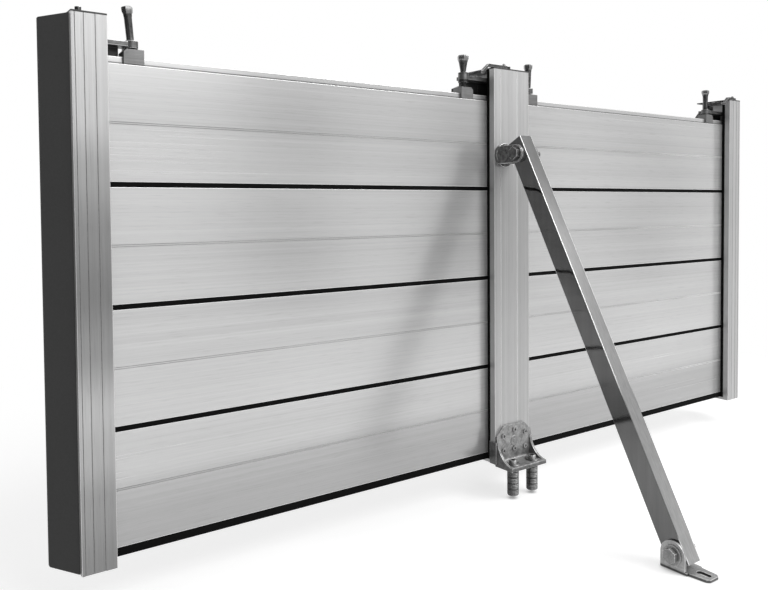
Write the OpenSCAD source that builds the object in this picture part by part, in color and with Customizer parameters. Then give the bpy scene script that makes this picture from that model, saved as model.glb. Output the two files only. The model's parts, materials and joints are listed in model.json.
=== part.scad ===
// Demountable flood barrier: two bays of hollow aluminium planks between three posts.
// X runs along the barrier, the brace stands on the -Y side, Z is up.
// The origin is on the underside of the foot bracket's shelf, between its two anchors.

/* [Barrier] */
// Clear width of one bay between the faces of its two posts
bay_clear = 834; // [400:1:2500]
// Number of planks in one bay
planks_per_bay = 4; // [4]
// Height of a plank's face, without its tongue
plank_face_h = 193; // [120:1:300]
// Thickness of a plank
plank_t = 72; // [50:1:90]
// Wall thickness of a plank's extrusion
plank_wall = 3; // [2:0.5:5]

/* [Plank details] */
// Height of the tongue on a plank's top
tongue_h = 12; // [9:0.5:16]
// Step from the plank's face back to the tongue
tongue_step = 6; // [5:0.5:9]
// Clearance round a tongue in the groove above it
tongue_gap = 1; // [0.5:0.1:2]
// Distance between the two fine lines at mid-height
line_pitch = 3; // [2:0.5:6]
// Width of a fine line cut in the extrusions
line_w = 1.2; // [0.6:0.1:2]
// Depth of a fine line cut in the extrusions
line_d = 0.8; // [0.4:0.1:1.2]

/* [Seals] */
// Height of the rubber seal between two planks
joint_seal_h = 7; // [4:0.5:12]
// How far a joint seal sits back from the plank's face
joint_seal_back = 0.6; // [0.2:0.1:2]
// Height of the rubber seal under the lowest plank
bottom_seal_h = 14; // [8:0.5:24]
// Thickness of the rubber strips that hold a plank in its channel
channel_seal_t = 9; // [5:0.5:14]
// Width of the channel's rubber strips
channel_seal_w = 22; // [10:1:28]
// Thickness of the rubber sheet between an end post and the wall
wall_seal_t = 34.5; // [20:0.5:40]
// Width of the bare aluminium lip beside the wall sheet
wall_seal_lip = 12; // [3:0.5:16]
// Depth of a wall sheet's slanting front
wall_seal_slant = 56; // [20:1:60]
// Depth of a wall sheet's flat face against the wall
wall_seal_flat = 10; // [6:1:16]
// How far a wall sheet's rear edge keeps from the wall
wall_seal_back = 14; // [4:0.5:18]

/* [Posts] */
// Height of a post's extrusion above the faces of the top planks
post_over = 68; // [60:1:140]
// Width of an end post's front
end_post_w = 55; // [50:1:90]
// Width of the middle post's front
middle_post_w = 108; // [100:1:160]
// Thickness of a post's hollow front and rear flanges
flange_t = 15; // [12:0.5:24]
// Depth of the channel from the post's edge to its web
channel_d = 42; // [36:1:45]
// Wall thickness of a post's extrusion
post_wall = 3; // [2:0.5:4]
// How far a plank's end goes into the channel
plank_in = 34; // [26:1:35]
// Thickness of the sill plate that closes a channel's foot
sill_t = 7; // [5:0.5:10]
// Thickness of a post's cap plate
cap_t = 3; // [2:0.5:6]
// Radius of a cap's screw head
cap_screw_r = 5; // [3:0.5:7]
// Height of a cap's screw head
cap_screw_h = 7; // [3:0.5:9]
// Distance from a post's front face back to its cap screw
cap_screw_y = 11; // [9:1:20]

/* [Foot bracket] */
// How far the shelf's underside lies below the posts' ends
foot_drop = 5; // [2:0.5:8]
// Height of the foot bracket's upright plate
foot_h = 89; // [89:1:140]
// Thickness of the upright plate
foot_plate_t = 6; // [5:0.5:8]
// Depth of the shelf in front of the post
shelf_d = 53; // [50:1:80]
// Thickness of the shelf
shelf_t = 9; // [6:0.5:12]
// Radius of the bend between the shelf and the upright plate
bend_r = 7; // [3:0.5:7]
// Thickness of a side gusset
gusset_t = 6; // [4:0.5:7]
// Height at which a gusset meets the upright plate's edge
gusset_h = 68; // [50:1:68]
// Width of the chamfer on each upper corner
foot_chamfer_x = 23; // [10:1:36]
// Height of the chamfer on each upper corner
foot_chamfer_z = 21; // [10:1:21]
// Thickness of the cheeks beside the post's front flange
cheek_t = 3; // [2:0.5:5]
// Height of the cheeks' upper edge
cheek_h = 55; // [30:1:80]
// Radius of a bracket screw's head
screw_head_r = 6; // [4:0.5:7]
// Height of a bracket screw's head
screw_head_h = 3.5; // [3:0.5:8]
// Radius of a bracket screw's shank
screw_shank_r = 3.5; // [2.5:0.5:4]
// Distance from the middle to the outer columns of bracket screws
screw_column_x = 34; // [26:1:38]
// Height of the lower row of bracket screws
screw_row_low = 33; // [26:1:36]
// Height of the outer screws of the upper row
screw_row_high = 66; // [50:1:68]
// Height of the middle screw of the upper row
screw_row_mid = 76; // [66:1:80]

/* [Anchors] */
// Distance between the two anchors
anchor_pitch = 60; // [50:1:62]
// Distance from the post's front to the anchors
anchor_y = 31.5; // [30:0.5:33]
// Radius of an anchor's sleeve
anchor_r = 13; // [8:0.5:13]
// Radial clearance of an anchor's sleeve in the shelf
anchor_gap = 0.3; // [0.2:0.1:0.6]
// Step from an anchor's sleeve in to its neck in the shelf
anchor_step = 0.5; // [0.3:0.1:1]
// Length of an anchor below the shelf
anchor_len = 60; // [45:1:120]
// Depth of the rings cut round a sleeve
ring_d = 1; // [0.5:0.1:2]
// Distance between two rings
ring_pitch = 13; // [10:1:16]
// Radius of an anchor bolt's head
anchor_head_r = 9; // [6:0.5:11]
// Height of an anchor bolt's head
anchor_head_h = 8; // [5:0.5:12]
// Radius of an anchor's washer
anchor_washer_r = 15.5; // [14:0.5:17]
// Thickness of an anchor's washer
anchor_washer_t = 2; // [1.5:0.5:3]

/* [Brace] */
// Sideways place of the brace from the middle post's centre
brace_x = -28; // [-28:1:28]
// Distance of the upper pin in front of the post
pivot_out = 65; // [60:1:90]
// Height of the upper pin above the base
pivot_z = 691; // [500:1:800]
// Lean of the brace from the vertical at rest
brace_lean = 27.43; // [20:0.5:35]
// Distance between the upper and the lower pin
pin_spacing = 827; // [600:1:900]
// Width of the brace's tube
tube_w = 34; // [28:1:44]
// Depth of the brace's tube
tube_d = 43; // [36:1:44]
// Wall thickness of the brace's tube
tube_wall = 3; // [1.5:0.5:4]
// Length of the tube above the upper pin
tube_top = 32; // [24:1:36]
// Gap between the tube's cut end and the foot's plate
tube_end_gap = 13; // [9:1:13]
// Side gap between the tube and a lug or ear
side_gap = 1; // [0.5:0.1:2]

/* [Brace pins] */
// Radius of a brace pin
pin_r = 6; // [5:0.5:8]
// Radial clearance of a pin in the tube
pin_gap = 0.06; // [0.02:0.01:0.1]
// Width across the flats of a pin's hexagon head
hex_af = 24; // [18:1:26]
// Height of a pin's hexagon head
hex_h = 8; // [6:0.5:11]
// Width across the flats of a pin's nut
nut_af = 17; // [16:1:22]
// Height of a pin's nut
nut_h = 9; // [6:0.5:11]
// Length of thread past the nut
thread_past = 9; // [4:0.5:12]
// Radius of a pin's big washer
washer_r = 18; // [14:0.5:20]
// Thickness of a pin's big washer
washer_t = 3; // [2:0.5:4]

/* [Brace bracket and foot] */
// Radius of the round flange on the post
flange_r = 26; // [24:0.5:26]
// Thickness of the round flange on the post
flange_disc_t = 8; // [5:0.5:12]
// Thickness of the upper bracket's two lugs
lug_t = 6; // [4:0.5:8]
// Radius of a lug's round end
lug_r = 19; // [16:0.5:20]
// Thickness of the foot's two ears
ear_t = 5; // [4:0.5:8]
// Radius of an ear's round top
ear_r = 25; // [20:0.5:26]
// Height of the lower pin above the foot's underside
foot_pin_h = 28; // [27:1:36]
// Thickness of the foot's plate
foot_base_t = 5; // [4:0.5:5]
// Length of the foot's tongue
foot_tongue_l = 42; // [36:1:80]
// Width of the foot's tongue at its tip
foot_tongue_w = 33; // [26:1:40]
// Width of the slot in the tongue
slot_w = 12; // [6:0.5:14]
// Length of the slot in the tongue, end to end
slot_l = 26; // [16:1:32]

/* [Top clamps] */
// Distances from the posts' edges to the four hand screws, left to right
clamp_reach = [49, 57, 38, 64];
// Leans of the four hand screws towards their posts
screw_lean = [5, 0, 0, 0];
// Which clamps have a plate hooked over the post's cap
clamp_hooked = [false, true, false, true];
// Distance from the post's front to the hand screws
hand_screw_y = 38; // [36:1:42]
// Radius of a hand screw
hand_screw_r = 6; // [5:0.5:7]
// Radii of the four hand screws' grips under their heads
grip_top_r = [6.6, 9.2, 7.5, 7.5];
// Radial clearance of a hand screw in its eye
eye_gap = 0.08; // [0.03:0.01:0.1]
// Height of a hand screw above the pressing block
hand_screw_l = 71; // [60:1:90]
// Widths of the four hand screws' heads, corner to corner
knob_w = [19, 26, 21, 21];
// Height of a hand screw's head
knob_h = 16; // [10:1:20]
// Width of a pressing block
block_w = 34; // [26:1:36]
// Height of a pressing block
block_h = 25; // [20:1:28]
// Depth of a pressing block
block_d = 28; // [24:1:30]
// Chamfer on a pressing block's upper corner towards its post
block_chamfer = 5; // [2:0.5:6]
// Gaps between the blocks' tops and the four arms
arm_gaps = [5, 18, 5, 5];
// How far the four eyes stand above and below their arms
eye_over = [2, 7, 2, 2];
// Thickness of a clamp's arm
arm_t = 8; // [7:0.5:9]
// Reach of a clamp's arm in front of its hand screw
arm_front = 8; // [7:0.5:9]
// Reach of a clamp's arm behind its hand screw
arm_rear = 22; // [18:0.5:24]
// Radius of the eye at the arm's end
eye_r = 11; // [9.5:0.5:12]
// Distances from the hand screws to the tips of the four rear jaws
jaw_l = [23, 12, 12, 10];
// Heights of the four rear jaws' tips above the planks' tongue
jaw_tip_h = [17, 13, 13, 8];
// Distances from the hand screws to the four rear jaws' inner ends
jaw_back = [8, 20, 8, 16];
// Length of the lug between a post and its pressing block
arm_lug_l = 32; // [10:1:36]
// Thickness of a hook plate
hook_t = 6; // [3:0.5:6]
// How far the three hook plates run past their posts' edges before they bend down
hook_over = [0, 13, 0, 3];
// Distance from the post's front to a hook plate
hook_y = 1; // [0.5:0.5:5]
// Depth of a hook plate on the cap, from front to rear
hook_d = 9; // [6:0.5:14]
// Lengths of the three hook plates on their caps
hook_l = [0, 42, 36, 28];
// Drop of a hook plate from the cap to the clamp
hook_drop = 17; // [8:0.5:18]
// Run of a hook plate's sloping part
hook_slope = 20; // [14:0.5:22]

/* [Hidden] */
$fn = 48;

// Small overlap that makes cuts run clear of a face
cut = 1;

// Heights
plank_pitch = plank_face_h + joint_seal_h;
lowest_plank_z = sill_t + bottom_seal_h;
plank_top_z = lowest_plank_z + plank_pitch * (planks_per_bay - 1) + plank_face_h;
tongue_top_z = plank_top_z + tongue_h;
post_h = plank_top_z + post_over;
cap_top_z = post_h + cap_t;

// Depths from the posts' front face
plank_y = flange_t + channel_seal_t;
post_d = 2 * plank_y + plank_t;
slot_d = post_d - 2 * flange_t;
tongue_y = plank_y + tongue_step;
tongue_d = plank_t - 2 * tongue_step;

// Places along the barrier
middle_edge_x = middle_post_w / 2;
outer_edge_x = middle_edge_x + bay_clear;
plank_l = bay_clear + 2 * plank_in;
bay_centre_x = middle_edge_x + bay_clear / 2;

// The posts' rear flanges end at the planks' top, and the caps cover what stands above
rear_flange_h = plank_top_z;
cap_d = post_d - flange_t;

// Colours
ALUMINIUM = [0.80, 0.80, 0.80];
RUBBER = [0.08, 0.08, 0.08];
CAST = [0.22, 0.22, 0.23];
STEEL = [0.55, 0.55, 0.56];

// Pieces drawn from the posts' front face and ends, moved so that the origin is between the anchors
module from_post_front() {
    translate([0, anchor_y, foot_drop]) children();
}

// Pieces of the foot bracket, drawn from the posts' front face and the shelf's underside
module from_shelf() {
    translate([0, anchor_y, 0]) children();
}

/* ---- Posts ---- */

// Front lines at the given distances from the left edge
module front_lines(places) {
    for (x = places)
        translate([x - line_w / 2, -cut]) square([line_w, line_d + cut]);
}

// Cavities of a post's two flanges
module flange_cavities(w) {
    for (y = [post_wall, post_d - flange_t + post_wall])
        translate([post_wall, y]) square([w - 2 * post_wall, flange_t - 2 * post_wall]);
}

// Section of an end post, open towards +X, with its wall side at x = 0
module end_post_section() {
    web = end_post_w - channel_d;
    difference() {
        square([end_post_w, post_d]);
        translate([web, flange_t]) square([channel_d + cut, slot_d]);
        flange_cavities(end_post_w);
        translate([post_wall, flange_t]) square([web - 2 * post_wall, slot_d]);
        front_lines([end_post_w * 0.1, end_post_w * 0.34, end_post_w * 0.66]);
        translate([-cut, wall_seal_lip]) square([wall_seal_in() + cut, post_d - 2 * wall_seal_lip]);
    }
}

// The wall sheet lies in a shallow recess of the post
function wall_seal_in() = 1.5;

// Takes away a post's rear flange above the planks
module below_planks_top(w) {
    difference() {
        children();
        translate([-cut, cap_d, rear_flange_h]) cube([w + 2 * cut, flange_t + cut, post_h]);
    }
}

module end_post() {
    web = end_post_w - channel_d;
    color(ALUMINIUM) {
        below_planks_top(end_post_w) linear_extrude(post_h) end_post_section();
        translate([web, flange_t, 0]) cube([channel_d, slot_d, sill_t]);
    }
}

module middle_post_section() {
    web = middle_post_w - 2 * channel_d;
    difference() {
        square([middle_post_w, post_d]);
        translate([-cut, flange_t]) square([channel_d + cut, slot_d]);
        translate([middle_post_w - channel_d, flange_t]) square([channel_d + cut, slot_d]);
        flange_cavities(middle_post_w);
        translate([channel_d + post_wall, flange_t]) square([web - 2 * post_wall, slot_d]);
        front_lines([middle_post_w * 0.18, middle_post_w * 0.65]);
    }
}

module middle_post() {
    color(ALUMINIUM) translate([-middle_edge_x, 0, 0]) {
        below_planks_top(middle_post_w) linear_extrude(post_h) middle_post_section();
        translate([0, flange_t, 0]) cube([channel_d, slot_d, sill_t]);
        translate([middle_post_w - channel_d, flange_t, 0]) cube([channel_d, slot_d, sill_t]);
    }
}

// Puts an end piece at the left end, or mirrored at the right end
module at_end(side) {
    mirror([side < 0 ? 0 : 1, 0, 0])
        translate([-outer_edge_x - end_post_w, 0, 0]) children();
}

module end_cap() {
    color(CAST) translate([0, 0, post_h]) cube([end_post_w, cap_d, cap_t]);
}

module middle_cap() {
    color(CAST) translate([-middle_edge_x, 0, post_h]) cube([middle_post_w, cap_d, cap_t]);
}

// Sheet on a post's wall side, slanting out from the front lip to its flat wall face
module wall_seal() {
    depth = post_d - 2 * wall_seal_lip;
    color([0.24, 0.24, 0.24]) translate([wall_seal_in() - wall_seal_t, wall_seal_lip, 0])
        linear_extrude(post_h) polygon([
            [wall_seal_t, 0], [wall_seal_t, depth], [wall_seal_back, depth],
            [0, wall_seal_slant + wall_seal_flat], [0, wall_seal_slant],
            [wall_seal_t - wall_seal_in() - 1, 0]]);
}

// Front and rear rubber strips of one channel, whose mouth is at x = 0 and which runs towards +X
module channel_seal_pair() {
    for (strip = [[flange_t, post_h], [cap_d - channel_seal_t, rear_flange_h]])
        translate([0.5, strip[0], sill_t]) cube([channel_seal_w, channel_seal_t, strip[1] - sill_t]);
}

module end_channel_seals() {
    color(RUBBER) translate([end_post_w, 0, 0]) mirror([1, 0, 0]) channel_seal_pair();
}

module middle_channel_seals() {
    color(RUBBER) for (side = [0, 1])
        mirror([side, 0, 0]) translate([-middle_edge_x, 0, 0]) channel_seal_pair();
}

/* ---- Planks ---- */

// Section of a plank: y is its thickness, the second axis is its height
module plank_section() {
    mid = plank_face_h / 2;
    groove_h = tongue_h - joint_seal_h + tongue_gap;
    difference() {
        union() {
            square([plank_t, plank_face_h]);
            translate([tongue_step, 0]) square([tongue_d, plank_face_h + tongue_h]);
        }
        translate([tongue_step - tongue_gap, -cut])
            square([tongue_d + 2 * tongue_gap, groove_h + cut]);
        translate([plank_wall, groove_h + plank_wall])
            square([plank_t - 2 * plank_wall, mid - groove_h - 1.5 * plank_wall]);
        translate([plank_wall, mid + plank_wall / 2])
            square([plank_t - 2 * plank_wall, mid - 1.5 * plank_wall]);
        translate([tongue_step + plank_wall, plank_face_h])
            square([tongue_d - 2 * plank_wall, tongue_h - plank_wall]);
        for (side = [-1, 1])
            translate([-cut, mid + side * line_pitch / 2 - line_w / 2])
                square([line_d + cut, line_w]);
    }
}

// Extrudes a section drawn in Y and Z along X, centred on a bay
module along_bay(side, length) {
    translate([side * bay_centre_x - length / 2, 0, 0])
        rotate([90, 0, 90]) linear_extrude(length) children();
}

module plank(side, number) {
    color(ALUMINIUM) translate([0, plank_y, lowest_plank_z + plank_pitch * (number - 1)])
        along_bay(side, plank_l) plank_section();
}

// Rubber strips on the front and rear shoulders of the three lower planks
module plank_seals(side) {
    strip = tongue_step - tongue_gap / 2 - joint_seal_back;
    color(RUBBER) for (i = [1 : planks_per_bay - 1])
        for (y = [joint_seal_back, plank_t - joint_seal_back - strip])
            translate([0, plank_y + y, lowest_plank_z + plank_pitch * i - joint_seal_h])
                along_bay(side, plank_l) square([strip, joint_seal_h]);
}

module bottom_seal(side) {
    groove_h = tongue_h - joint_seal_h + tongue_gap;
    inset = tongue_gap / 2;
    color(RUBBER) translate([0, plank_y, sill_t]) along_bay(side, plank_l) {
        translate([inset, 0]) square([plank_t - 2 * inset, bottom_seal_h]);
        translate([tongue_step, 0]) square([tongue_d, bottom_seal_h + groove_h - inset]);
    }
}

/* ---- Top clamps ---- */

// Post edge that carries each clamp, and the way from it to the plank
clamp_edge = [-outer_edge_x, -middle_edge_x, middle_edge_x, outer_edge_x];
clamp_way = [1, -1, 1, -1];
block_top_z = plank_top_z + block_h;
function arm_z(i) = block_top_z + arm_gaps[i];
arm_front_y = hand_screw_y - arm_front;
arm_rear_y = hand_screw_y + arm_rear;
jaw_front_y = plank_y + block_d + 0.5;
web_t = 8;
jaw_rise = 9;
jaw_post = 10;
hook_ledge = 4;
hook_back = 21;
hook_z = cap_top_z - hook_drop;

// Puts a clamp piece, drawn from its post's edge towards +X, in its place
module at_clamp(i) {
    translate([clamp_edge[i], 0, 0]) mirror([clamp_way[i] < 0 ? 1 : 0, 0, 0]) children();
}

// Line of a clamp's hand screw, from the middle of its pressing block's top
module on_screw_line(i) {
    translate([clamp_reach[i], hand_screw_y, block_top_z])
        rotate([0, -screw_lean[i], 0]) children();
}

// Draws an outline in X and Z and thickens it from front to rear
module side_plate(front, rear) {
    translate([0, rear, 0]) rotate([90, 0, 0]) linear_extrude(rear - front) children();
}

module clamp_arm(i) {
    reach = clamp_reach[i];
    low = arm_z(i);
    high = low + arm_t;
    tail = channel_d - 4;
    back_x = reach - jaw_back[i];
    tip_x = reach + jaw_l[i];
    color(CAST) difference() {
        union() {
            translate([-tail, arm_front_y, low]) cube([tail + reach, arm_rear_y - arm_front_y, arm_t]);
            translate([reach, hand_screw_y, low - eye_over[i]])
                cylinder(r = eye_r, h = arm_t + 2 * eye_over[i]);
            side_plate(jaw_front_y, arm_rear_y + 4) polygon([
                [back_x, tongue_top_z], [tip_x, tongue_top_z], [tip_x, tongue_top_z + jaw_tip_h[i]],
                [back_x + jaw_post, block_top_z + jaw_rise], [back_x + jaw_post, high], [back_x, high]]);
            translate([-tail, jaw_front_y, tongue_top_z])
                cube([tail + arm_lug_l, arm_rear_y - jaw_front_y, low - tongue_top_z + cut]);
            if (clamp_hooked[i]) clamp_hook(reach, hook_over[i], hook_l[i]);
        }
        on_screw_line(i) cylinder(r = hand_screw_r + eye_gap, h = 3 * low, center = true);
    }
}

// Bent plate from the clamp up over the post's cap, with the web below it
module clamp_hook(reach, over, length) {
    low_x = over + hook_slope;
    end_x = max(low_x + hook_ledge, reach - hook_back);
    side_plate(hook_y, hook_y + hook_d) polygon([
        [-length, cap_top_z], [over + 0.3, cap_top_z], [low_x - 2, hook_z], [low_x, hook_z],
        [low_x, hook_z + hook_t], [over, cap_top_z + hook_t], [-length, cap_top_z + hook_t]]);
    translate([low_x - 2, hook_y, hook_z]) cube([end_x - low_x + 2, arm_rear_y - hook_y, hook_t]);
    translate([1, arm_rear_y - web_t, tongue_top_z])
        cube([end_x - 1, web_t, hook_z - tongue_top_z + 1]);
}

module pressing_block(i) {
    leg = tongue_step - tongue_gap / 2;
    color(STEEL) translate([clamp_reach[i], plank_y, plank_top_z]) difference() {
        side_plate(0, block_d) polygon([
            [-block_w / 2, 0], [block_w / 2, 0], [block_w / 2, block_h],
            [block_chamfer - block_w / 2, block_h], [-block_w / 2, block_h - block_chamfer]]);
        translate([-block_w / 2 - cut, leg, -cut])
            cube([block_w + 2 * cut, block_d, tongue_h + cut]);
    }
}

// Hand screw: plain end, tapered grip and flared hexagonal head, drawn upward from its lower end
module hand_screw(i) {
    lift = hand_screw_r * sin(screw_lean[i]) + 0.1;
    neck = hand_screw_l - knob_h;
    plain = arm_gaps[i] + arm_t + eye_over[i] + 2;
    knob_r = knob_w[i] / 2;
    color(CAST) on_screw_line(i) translate([0, 0, lift]) {
        cylinder(r = hand_screw_r, h = plain);
        translate([0, 0, plain])
            cylinder(r1 = hand_screw_r, r2 = grip_top_r[i], h = neck - plain);
        intersection() {
            translate([0, 0, neck]) linear_extrude(knob_h) circle(d = knob_w[i], $fn = 6);
            rotate_extrude() polygon([
                [0, neck], [grip_top_r[i] + 0.5, neck], [knob_r - 1, neck + knob_h * 0.4],
                [knob_r, neck + knob_h * 0.8], [knob_r - 2.5, neck + knob_h], [0, neck + knob_h]]);
        }
    }
}

/* ---- Cap screws ---- */

module cap_screw() {
    cylinder(r = cap_screw_r, h = cap_screw_h);
}

module cap_screws() {
    color(STEEL) {
        for (x = [-1, 0, 1] * (outer_edge_x + end_post_w * 0.75))
            translate([x, cap_screw_y, cap_top_z]) cap_screw();
    }
}

/* ---- Foot bracket ---- */

// Places of the six bracket screws in X and Z
screw_places = [
    for (x = [-screw_column_x, 0, screw_column_x]) [x, screw_row_low],
    [-screw_column_x, screw_row_high], [0, screw_row_mid], [screw_column_x, screw_row_high]
];

// Outline in Y and Z, measured from the upright plate's face, thickened to the right from x
module from_plate(x, thickness) {
    translate([x, -foot_plate_t, 0]) rotate([90, 0, 90]) linear_extrude(thickness) children();
}

module foot_gusset() {
    run = shelf_d - foot_plate_t;
    rise = gusset_h - shelf_t;
    from_plate(-middle_edge_x, gusset_t) polygon([
        [cut, gusset_h], [cut, 0], [-run, 0],
        for (a = [0 : 9 : 90]) [run * (sin(a) - 1), gusset_h - rise * cos(a)]]);
}

// Rounded inner corner between the shelf and the upright plate
module foot_bend() {
    from_plate(-middle_edge_x, middle_post_w) difference() {
        translate([-bend_r, shelf_t - cut]) square([bend_r + cut, bend_r + cut]);
        translate([-bend_r, shelf_t + bend_r]) circle(r = bend_r);
    }
}

module foot_bracket() {
    color(STEEL) difference() {
        union() {
            side_plate(-foot_plate_t, 0) polygon([
                [-middle_edge_x, 0], [middle_edge_x, 0],
                [middle_edge_x, foot_h - foot_chamfer_z],
                [middle_edge_x - foot_chamfer_x, foot_h], [foot_chamfer_x - middle_edge_x, foot_h],
                [-middle_edge_x, foot_h - foot_chamfer_z]]);
            translate([-middle_edge_x, -shelf_d, 0]) cube([middle_post_w, shelf_d, shelf_t]);
            foot_bend();
            for (side = [0, 1]) mirror([side, 0, 0]) {
                foot_gusset();
                translate([-middle_edge_x - cheek_t, -foot_plate_t, foot_drop])
                    cube([cheek_t, foot_plate_t + flange_t, cheek_h - foot_drop]);
            }
        }
        for (p = screw_places)
            translate([p[0], cut, p[1]]) rotate([90, 0, 0])
                cylinder(r = screw_shank_r + 0.5, h = foot_plate_t + 2 * cut);
        for (side = [-1, 1])
            translate([side * anchor_pitch / 2, -anchor_y, -cut])
                cylinder(r = anchor_r + anchor_gap, h = shelf_t + 2 * cut);
    }
}

module foot_bracket_screws() {
    color(STEEL) for (p = screw_places) translate([p[0], 0, p[1]]) rotate([90, 0, 0]) {
        cylinder(r = screw_shank_r, h = foot_plate_t + 1);
        translate([0, 0, foot_plate_t]) difference() {
            cylinder(r = screw_head_r, h = screw_head_h);
            translate([0, 0, 1]) linear_extrude(screw_head_h) circle(d = screw_head_r, $fn = 6);
        }
    }
}

module floor_anchor() {
    difference() {
        union() {
            translate([0, 0, -anchor_len]) cylinder(r = anchor_r, h = anchor_len - anchor_step);
            translate([0, 0, -cut]) cylinder(r = anchor_r - anchor_step, h = shelf_t + cut);
        }
        for (z = [ring_pitch : ring_pitch : anchor_len - 6])
            translate([0, 0, -z]) difference() {
                cylinder(r = anchor_r + cut, h = 2);
                translate([0, 0, -cut]) cylinder(r = anchor_r - ring_d, h = 2 + 2 * cut);
            }
    }
    translate([0, 0, shelf_t]) cylinder(r = anchor_washer_r, h = anchor_washer_t);
    translate([0, 0, shelf_t + anchor_washer_t]) difference() {
        cylinder(r = anchor_head_r, h = anchor_head_h);
        translate([0, 0, anchor_head_h - 5]) linear_extrude(6) circle(r = anchor_head_r * 0.55, $fn = 6);
    }
}

module floor_anchors() {
    color(STEEL) for (side = [-1, 1])
        translate([side * anchor_pitch / 2, -anchor_y, 0]) floor_anchor();
}

/* ---- Brace ---- */

lug_in = tube_w / 2 + side_gap;
foot_pin_y = -pivot_out - pin_spacing * sin(brace_lean);
foot_pin_z = pivot_z - pin_spacing * cos(brace_lean);
foot_z = foot_pin_z - foot_pin_h;

// Cylinder along X with its middle at the origin of the pin
module along_x(r, from, to) {
    translate([from, 0, 0]) rotate([0, 90, 0]) cylinder(r = r, h = to - from);
}

// Hexagonal prism along X
module hex_along_x(af, from, to) {
    translate([from, 0, 0]) rotate([0, 90, 0])
        linear_extrude(to - from) circle(d = af / cos(30), $fn = 6);
}

module at_upper_pin() {
    translate([brace_x, -pivot_out, pivot_z]) children();
}

module at_foot_pin() {
    translate([brace_x, foot_pin_y, foot_pin_z]) children();
}

// Plates beside the tube, left or right, from an outline drawn in Y and Z round the pin
module plates(t, sides) {
    for (side = sides)
        translate([side < 0 ? -lug_in - t : lug_in, 0, 0]) rotate([90, 0, 90])
            linear_extrude(t) children();
}

module brace_bracket() {
    root = flange_r - 3;
    color(CAST) at_upper_pin() difference() {
        union() {
            translate([0, pivot_out, 0]) rotate([90, 0, 0]) cylinder(r = flange_r, h = flange_disc_t);
            plates(lug_t, [-1, 1]) {
                circle(r = lug_r);
                polygon([[0, lug_r], [pivot_out - flange_disc_t, lug_r],
                         [pivot_out - flange_disc_t, -lug_r], [0, -lug_r]]);
            }
            translate([-lug_in - lug_t, pivot_out - flange_disc_t - 3, -lug_r])
                cube([2 * (lug_in + lug_t), 3, 2 * lug_r]);
        }
        along_x(pin_r + pin_gap, -lug_in - lug_t - cut, lug_in + lug_t + cut);
    }
}

// Bolt with washers through plates of the given thicknesses left and right of the tube
module brace_pin(left_t, right_t) {
    head_x = -lug_in - left_t - washer_t;
    nut_x = lug_in + right_t + washer_t;
    along_x(pin_r, head_x, nut_x + nut_h + thread_past);
    along_x(washer_r, head_x, head_x + washer_t);
    hex_along_x(hex_af, head_x - hex_h, head_x);
    along_x(washer_r * 0.6, nut_x - washer_t, nut_x);
    hex_along_x(nut_af, nut_x, nut_x + nut_h);
}

module brace_upper_pin() {
    color(CAST) at_upper_pin() brace_pin(lug_t, lug_t);
}

module brace_foot_pin() {
    color(STEEL) at_foot_pin() brace_pin(ear_t, 0);
}

// Tube along its own line, with z = 0 at the upper pin and the lower end cut level with the floor
module brace_tube() {
    below = pin_spacing + foot_pin_h;
    inner_w = tube_w - 2 * tube_wall;
    inner_d = tube_d - 2 * tube_wall;
    color(STEEL) difference() {
        at_upper_pin() rotate([-brace_lean, 0, 0]) difference() {
            translate([-tube_w / 2, -tube_d / 2, -below]) cube([tube_w, tube_d, below + tube_top]);
            translate([-inner_w / 2, -inner_d / 2, -below - cut])
                cube([inner_w, inner_d, below + tube_top + 2 * cut]);
            along_x(pin_r + pin_gap, -tube_w, tube_w);
            translate([0, 0, -pin_spacing]) along_x(pin_r + pin_gap, -tube_w, tube_w);
        }
        translate([brace_x - tube_w, foot_pin_y - 4 * tube_d, foot_z - 4 * tube_d])
            cube([2 * tube_w, 8 * tube_d, 4 * tube_d + foot_base_t + tube_end_gap]);
    }
}

module brace_foot() {
    base_w = 2 * (lug_in + ear_t);
    tip_y = -ear_r - foot_tongue_l;
    slot_run = slot_l - slot_w;
    slot_y = tip_y + slot_l / 2 + 7;
    color(STEEL) at_foot_pin() difference() {
        union() {
            plates(ear_t, [-1]) {
                circle(r = ear_r);
                translate([-ear_r, -foot_pin_h]) square([2 * ear_r, foot_pin_h]);
            }
            translate([-base_w / 2, -ear_r - 4, -foot_pin_h]) cube([base_w, 2 * ear_r + 4, foot_base_t]);
            translate([0, 0, -foot_pin_h]) linear_extrude(foot_base_t) polygon([
                [-base_w / 2 + 3, -ear_r], [base_w / 2 - 3, -ear_r],
                [foot_tongue_w / 2, tip_y + 5], [foot_tongue_w / 2 - 5, tip_y],
                [5 - foot_tongue_w / 2, tip_y], [-foot_tongue_w / 2, tip_y + 5]]);
        }
        along_x(pin_r + pin_gap, -base_w, base_w);
        translate([0, 0, -foot_pin_h - cut]) linear_extrude(foot_base_t + 2 * cut) {
            translate([-slot_w / 2, slot_y - slot_run / 2]) square([slot_w, slot_run]);
            for (end = [-1, 1]) translate([0, slot_y + end * slot_run / 2]) circle(d = slot_w);
        }
    }
}

/* ---- Nodes ---- */

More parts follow.
